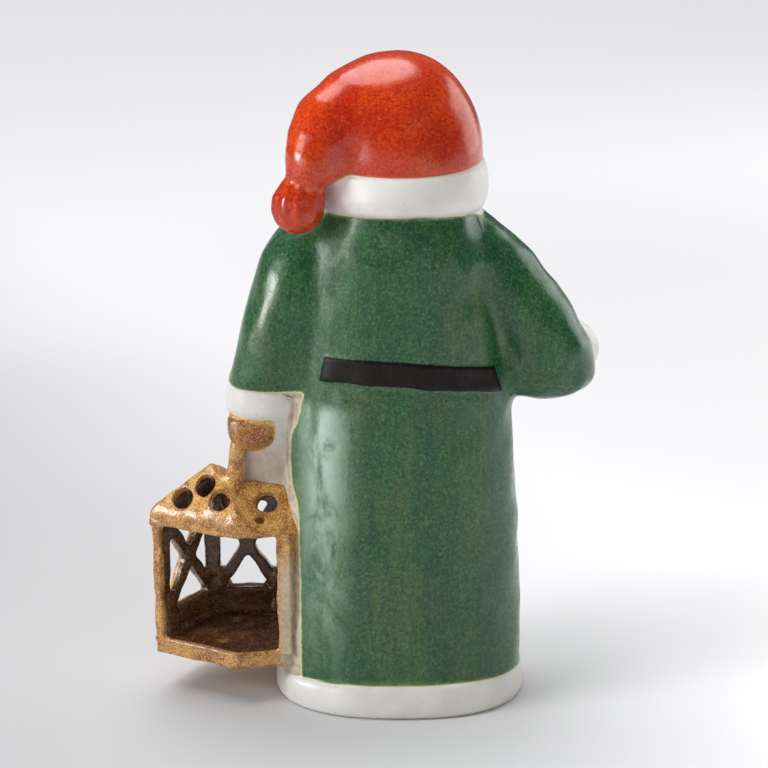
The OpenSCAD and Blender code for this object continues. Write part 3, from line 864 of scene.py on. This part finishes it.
def white_glaze():
    """White, warmer and darker between the cuff and the hem beside the lantern, partly from thin glaze over
    the clay and partly as painted shade between the arm and the lantern roof.
    """
    g = Glaze("white_glaze")
    clouds = g.ramp(g.noise(30, 4, 0.6, 0.4), 0.35, 0.68)
    specks = g.ramp(g.noise(420, 3, 0.5), 0.66, 0.74)
    colour = g.mix(clouds, srgb(240, 238, 234), srgb(226, 222, 215))
    colour = g.mix(g.math("MULTIPLY", specks, 0.3), colour, srgb(182, 168, 142))
    # Painted shade, partly thin glaze: warmer, darker white between the arm and the lantern roof
    thin = g.math("MULTIPLY", g.attribute("thin"), g.ramp(g.noise(90, 4, 0.6), 0.3, 0.7, 0.55, 1))
    colour = g.mix(thin, colour, srgb(186, 168, 144))
    colour = g.mix(g.ramp(g.attribute("bulge"), -0.6, -0.08, 0.45, 0), colour, srgb(194, 187, 172))
    colour = g.mix(g.ramp(g.attribute("seam"), 0.0, 0.6, 0.7, 0), colour, srgb(206, 201, 160))
    rough = g.ramp(g.noise(160, 3), 0.35, 0.7, 0.3, 0.44)
    return g.finish(colour, rough, surface_height(g, dents=0.4, pebble=0.04))


def ochre_glaze():
    """Speckled ochre, rusty in the fists, with edges lightened partly as painted highlight, and dark brown
    inside the lantern, partly darker glaze and partly painted shade.
    """
    g = Glaze("ochre_glaze")
    grain = g.ramp(g.noise(1200, 3, 0.65), 0.46, 0.57)
    breaks = g.ramp(g.noise(110, 5, 0.7, 0.3), 0.42, 0.64)
    sparks = g.ramp(g.noise(1150, 3, 0.6), 0.53, 0.63)
    colour = g.mix(breaks, srgb(222, 166, 88), srgb(166, 98, 40))
    rust = g.math("MULTIPLY", g.attribute("rust"), g.ramp(g.noise(260, 3, 0.6), 0.3, 0.6, 0.6, 1))
    colour = g.mix(rust, colour, srgb(158, 62, 8))
    colour = g.mix(g.math("MULTIPLY", grain, 0.65), colour, srgb(100, 54, 20))
    colour = g.mix(g.math("MULTIPLY", sparks, 0.7), colour, srgb(240, 200, 128))
    proud = g.attribute("bulge")
    # Lighter edges: partly glaze thin on edges, partly a painted highlight line along them
    edges = g.math("MULTIPLY", g.ramp(proud, 0.03, 0.14), g.ramp(grain, 0.0, 1.0, 0.85, 0.3))
    colour = g.mix(edges, colour, srgb(244, 206, 132))
    colour = g.mix(g.ramp(proud, -0.35, -0.06, 0.6, 0), colour, srgb(84, 46, 20))
    # Inside the chamber: partly a darker glaze, partly painted shade; the lighter inner edges are partly
    # painted glints
    dark = g.mix(breaks, srgb(112, 70, 40), srgb(74, 42, 26))
    dark = g.mix(grain, dark, srgb(38, 21, 13))
    dark = g.mix(g.math("MULTIPLY", sparks, 0.45), dark, srgb(164, 106, 54))
    dark = g.mix(g.ramp(proud, 0.18, 0.35, 0, 0.6), dark, srgb(196, 138, 76))
    colour = g.mix(g.ramp(g.attribute("inner"), 0.2, 0.8), colour, dark)
    pale = g.math("MULTIPLY", g.attribute("pale"), g.ramp(g.noise(500, 3, 0.6), 0.3, 0.6, 1, 0.6))
    colour = g.mix(pale, colour, srgb(190, 177, 154))
    rough = g.ramp(g.noise(400, 4), 0.35, 0.7, 0.14, 0.34)
    return g.finish(colour, rough, surface_height(g, dents=0.2, pebble=0.22, pits=0.06), coat=0.25)


def dark_glaze():
    """Almost black, with a dull shine."""
    g = Glaze("dark_glaze")
    breaks = g.ramp(g.noise(900, 4, 0.65), 0.45, 0.65)
    colour = g.mix(breaks, srgb(16, 9, 7), srgb(34, 23, 19))
    colour = g.mix(g.ramp(g.attribute("seam"), -0.3, 0.2, 0.5, 0), colour, srgb(74, 68, 46))
    rough = g.ramp(g.noise(200, 3), 0.35, 0.7, 0.4, 0.56)
    g.shader.inputs["Specular IOR Level"].default_value = 0.25
    return g.finish(colour, rough, surface_height(g, dents=0.15, pebble=0.04))


def face_glaze():
    """Skin with a blush on the cheeks and the nose."""
    g = Glaze("face_glaze")
    clouds = g.ramp(g.noise(60, 4, 0.6, 0.3), 0.38, 0.66)
    colour = g.mix(clouds, srgb(226, 186, 160), srgb(214, 168, 140))
    colour = g.mix(g.ramp(g.attribute("bulge"), -0.5, -0.05, 0.6, 0), colour, srgb(176, 116, 86))
    colour = g.mix(g.ramp(g.attribute("blush"), 0.1, 1.0, 0, 0.6), colour, srgb(206, 112, 90))
    rough = g.ramp(g.noise(160, 3), 0.35, 0.7, 0.2, 0.34)
    return g.finish(colour, rough, surface_height(g, dents=0.15, pebble=0.04), coat=0.3)


def bare_clay():
    """Unglazed clay with grog and pinholes."""
    g = Glaze("bare_clay")
    grog = g.ramp(g.noise(900, 4, 0.7), 0.42, 0.66)
    colour = g.mix(grog, srgb(206, 190, 166), srgb(170, 148, 120))
    colour = g.mix(g.ramp(g.cells(260), 0.0, 0.18, 0.6, 0), colour, srgb(120, 92, 66))
    rough = g.ramp(g.noise(300, 3), 0.3, 0.7, 0.6, 0.85)
    return g.finish(colour, rough, surface_height(g, dents=0.2, pebble=0.15))


GLAZES = {"green_glaze": green_glaze(), "white_glaze": white_glaze(), "red_glaze": red_glaze(),
          "dark_glaze": dark_glaze(), "ochre_glaze": ochre_glaze(), "face_glaze": face_glaze(),
          "bare_clay": bare_clay()}


# ---------------------------------------------------------------- make the pieces

def model(names, make_fields, unite, low, high, voxel, waves, rounds, extra=None):
    """Shapes one lump of clay and cuts it into its pieces. Waves are rows of (height, length, seed)."""
    points, triangles = skin(make_fields, unite, low, high, voxel)
    normals = corner_normals(points, triangles)
    lift = sum(size * ripple(tuple(points.T), length, seed) for size, length, seed in waves)
    z = points[:, 2]
    # The foot stays flat, and the cap's top is smoother
    keep = between(z, 0.2, 6.2) * (1 - 0.6 * between(z, 265, 277))
    points = points + normals * (lift * keep)[:, None]
    normals = corner_normals(points, triangles)
    fields = make_fields(tuple(points.T))
    extras = {"bulge": bulge(points, triangles, normals, rounds)}
    if extra:
        extras.update(extra(tuple(points.T)))
    return cut_apart(points, triangles, names, fields, normals, extras)


# Where the green glaze ends beside the lantern: rows of [z, x]
STRIP = [[0, 50], [60, 49.8], [95, 50.2], [108, 51], [116, 53.6], [128, 54.6], [140, 54], [150, 50.5],
         [163, 47.5]]


def spot(x, z, at_x, at_z, spread):
    """1 in the middle of a round spot, and soft all round."""
    return np.exp(-((x - at_x) ** 2 + (z - at_z) ** 2) / spread)


def streak(x, at_x, half_width):
    """1 in the middle of an upright streak, and soft at its sides."""
    return np.exp(-((x - at_x) / half_width) ** 2)


def figure_extras(p):
    """Where a glaze is blushed, rusty or matt, where a painted sheen lies on the skirt, where the white is
    warmer from thin glaze and painted shade, and how far inside the white strip a place is.
    """
    x, y, z = p
    cheeks = spot(np.abs(x + 1), z, 15, 234, 40) * (y < -30)
    nose = 0.8 * spot(x, z, -1, 235, 60) * (y < -46)
    rust = np.zeros(len(x))
    for node in ("left_mitten", "right_mitten"):
        middle = sum(span(node)) / 2
        across, up = (x - middle[0] + 1.5) / 8.5, (z - middle[2] - 1) / 6.5
        rust += np.exp(-(across ** 2 + up ** 2) ** 1.5)
    edge, = smooth_keys(STRIP, z)
    strip = np.minimum(np.minimum(x - edge, y + 26), 165 - z)
    # Painted highlight: the upright streak on the left of the skirt where the pale sheen is painted
    bloom = streak(x, 38, 10.5) * (y > 5) * between(z, 163, 157) * between(z, 10, 120)
    matt = 0.38 * streak(x, 30, 10) * (y > 0) * between(z, 176, 190)
    # Partly thin glaze, partly painted shade: strongest low beside the lantern, between the arm and the roof
    thin = between(z, 154, 128) * between(z, 60, 80) * (x > 40)
    return {"matt": matt, "blush": np.maximum(cheeks, nose), "strip": strip, "rust": rust, "bloom": bloom,
            "thin": thin}


def lantern_extras(p):
    """How far a place is inside the chamber, for its darker glaze and painted shade, and where the glaze is
    pale beside the coat.
    """
    walls = outline(p, [(51, 120), PLAN[1], PLAN[2], (167.8, 78.4)])
    inside = between(walls, -2.4, -3.6) * between(outline(p, PLAN), -0.8, -2)
    level = between(p[2], floor_high[2] - 1.2, floor_high[2]) * between(roof_slopes(p), -2.6, -3.8)
    pale = between(p[0], 61.5, 59) * between(p[2], 84, 72)
    return {"inner": inside * level, "pale": pale}


reach = 3
figure_low = [span("right_sleeve")[0][0] - 10, span("right_mitten")[0][1] - reach - 4, -4]
figure_high = [90, 50, cap_top + reach]
figure = model(["coat"] + list(PRESSED), figure_fields, figure_union, figure_low, figure_high, VOXEL,
               waves=[(0.14, 16, 5), (0.22, 38, 6)], rounds=10, extra=figure_extras)
lantern_low = [49, roof_low[1] - reach, floor_low[2] - reach]
lantern_high = [roof_high[0] + reach, roof_high[1] + reach, span("lantern_handle")[1][2] + reach]
lantern_names = list(POSTS) + ["lantern_panel_outer", "lantern_panel_far", "lantern_handle", "lantern_roof",
                               "lantern_floor"]
lantern = model(lantern_names, lantern_fields, lantern_union, lantern_low, lantern_high, LANTERN_VOXEL,
                waves=[(0.14, 10, 7), (0.2, 24, 8)], rounds=6, extra=lantern_extras)
eye_low, eye_high = span("eyes")
eyes = model(["eyes"], lambda p: {"eyes": eyes_field(p)}, lambda fields, p: fields["eyes"],
             eye_low - 2, eye_high + 2, DETAIL_VOXEL, waves=[], rounds=10)

for name, piece in {**figure, **lantern, **eyes}.items():
    piece.data.materials.append(GLAZES[SLOT_OF[name]])
for name, node in frame["nodes"].items():
    node.data.materials.clear()
    node.data.materials.append(GLAZES[SLOT_OF[name]])


# ---------------------------------------------------------------- studio

def studio_paper():
    """Pale paper with painted shade: greyer towards the camera and the lantern, with a slightly darker pool
    on the far right.
    """
    g = Glaze("studio_paper")
    axes = g.tree.nodes.new("ShaderNodeSeparateXYZ")
    g.tree.links.new(g.place, axes.inputs["Vector"])
    x, y = axes.outputs["X"], axes.outputs["Y"]
    drift = g.math("MULTIPLY", g.noise(1.2, 2), 0.3)
    # Painted shade: the paper greys towards the camera and the lantern
    across = g.math("ADD", x, g.math("MULTIPLY", y, 0.6))
    near = g.ramp(g.math("ADD", across, drift), -0.15, 0.4)
    side, back = g.math("ADD", x, 0.35), g.math("ADD", y, 0.62)
    away = g.math("SQRT", g.math("ADD", g.math("MULTIPLY", side, side), g.math("MULTIPLY", back, back)))
    near = g.math("MULTIPLY", near, g.ramp(away, 1.4, 2.6, 1, 0))
    colour = g.mix(near, srgb(246, 246, 248), srgb(184, 184, 186))
    # Painted shade: a slightly darker pool on the far right, where a lamp lights the floor most
    colour = g.mix(g.ramp(away, 0.2, 0.85, 0.14, 0), colour, srgb(0, 0, 0))
    return g.finish(colour, 0.8, g.math("MULTIPLY", g.noise(400, 2), 0.03))


def studio_piece(name, points, faces, material):
    mesh = bpy.data.meshes.new(name)
    mesh.from_pydata(points, [], faces)
    mesh.polygons.foreach_set("use_smooth", np.ones(len(faces), bool))
    mesh.materials.append(material)
    piece = bpy.data.objects.new(name, mesh)
    bpy.context.collection.objects.link(piece)
    return piece


def studio_room():
    """A round sheet of pale paper, and the same paper swept up all round far behind the figure."""
    sides = 72
    profile = [(4.4, 0), (4.9, 0.05), (5.4, 0.22), (5.8, 0.55), (6.0, 1.0), (6.1, 1.6)]
    turns = [2 * math.pi * i / sides for i in range(sides)]
    points = [(r * math.cos(t), r * math.sin(t), z) for r, z in profile for t in turns]
    faces = []
    for ring in range(len(profile) - 1):
        for i in range(sides):
            a, b = ring * sides + i, ring * sides + (i + 1) % sides
            faces.append([b, a, a + sides, b + sides])
    paper = studio_paper()
    studio_piece("studio_floor", points[:sides], [list(range(sides))], paper)
    sweep = studio_piece("studio_sweep", points, faces, paper)
    sweep.visible_glossy = sweep.visible_diffuse = False


def softbox(name, place, size, power, aim=(0, 0, 0.16), mirrored=True, lighting=True):
    """A flat lamp. It can be left out of what the glaze mirrors, or be there only to be mirrored."""
    light = bpy.data.lights.new(name, "AREA")
    light.shape = "RECTANGLE"
    light.size, light.size_y = size
    light.energy = power
    lamp = bpy.data.objects.new(name, light)
    lamp.location = place
    lamp.rotation_euler = (Vector(aim) - Vector(place)).to_track_quat("-Z", "Y").to_euler()
    lamp.visible_glossy, lamp.visible_diffuse = mirrored, lighting
    bpy.context.collection.objects.link(lamp)


def overhead(direction, strength, spread):
    """A broad light that comes from everywhere around one direction."""
    light = bpy.data.lights.new("overhead", "SUN")
    light.energy, light.angle = strength, math.radians(spread)
    lamp = bpy.data.objects.new("overhead", light)
    lamp.rotation_euler = Vector(direction).to_track_quat("Z", "Y").to_euler()
    bpy.context.collection.objects.link(lamp)


def world(strength):
    sky = bpy.data.worlds.new("studio")
    sky.use_nodes = True
    background = sky.node_tree.nodes["Background"]
    background.inputs["Color"].default_value = srgb(240, 240, 242)
    background.inputs["Strength"].default_value = strength
    bpy.context.scene.world = sky


def camera(aim, pitch, distance, lens):
    """Looks at the gnome's back from straight behind and a little above. The pitch is in degrees."""
    data = bpy.data.cameras.new("camera")
    data.sensor_width = 36
    data.lens = lens
    data.clip_end = 50
    view = bpy.data.objects.new("camera", data)
    pitch = math.radians(pitch)
    view.location = Vector(aim) + distance * Vector((0, math.cos(pitch), math.sin(pitch)))
    view.rotation_euler = (Vector(aim) - view.location).to_track_quat("-Z", "Y").to_euler()
    bpy.context.collection.objects.link(view)
    bpy.context.scene.camera = view


studio_room()
world(0.12)
overhead(direction=(0.1, -0.3, 1), strength=2.4, spread=50)
softbox("left", (1.2, 0.35, 0.6), (0.4, 0.6), 6.5, mirrored=False)
softbox("left_glint", (1.15, 0.5, 0.46), (0.5, 0.5), 13, lighting=False)
softbox("low_left", (1.0, 0.85, 0.13), (0.6, 0.24), 1.2, aim=(0, 0, 0.1))
softbox("right", (-1.6, -1.0, 0.65), (1.35, 1.2), 10)
softbox("top_left", (0.58, 0.3, 1.28), (0.3, 0.3), 4, aim=(0.05, 0, 0.15), mirrored=False)
softbox("fill", (-0.75, 1.55, 1.1), (1.2, 0.8), 7, mirrored=False)
bpy.context.scene.view_settings.view_transform = "Standard"
camera(aim=(0.0081, 0, 0.1621), pitch=17.5, distance=0.975, lens=91.40625)
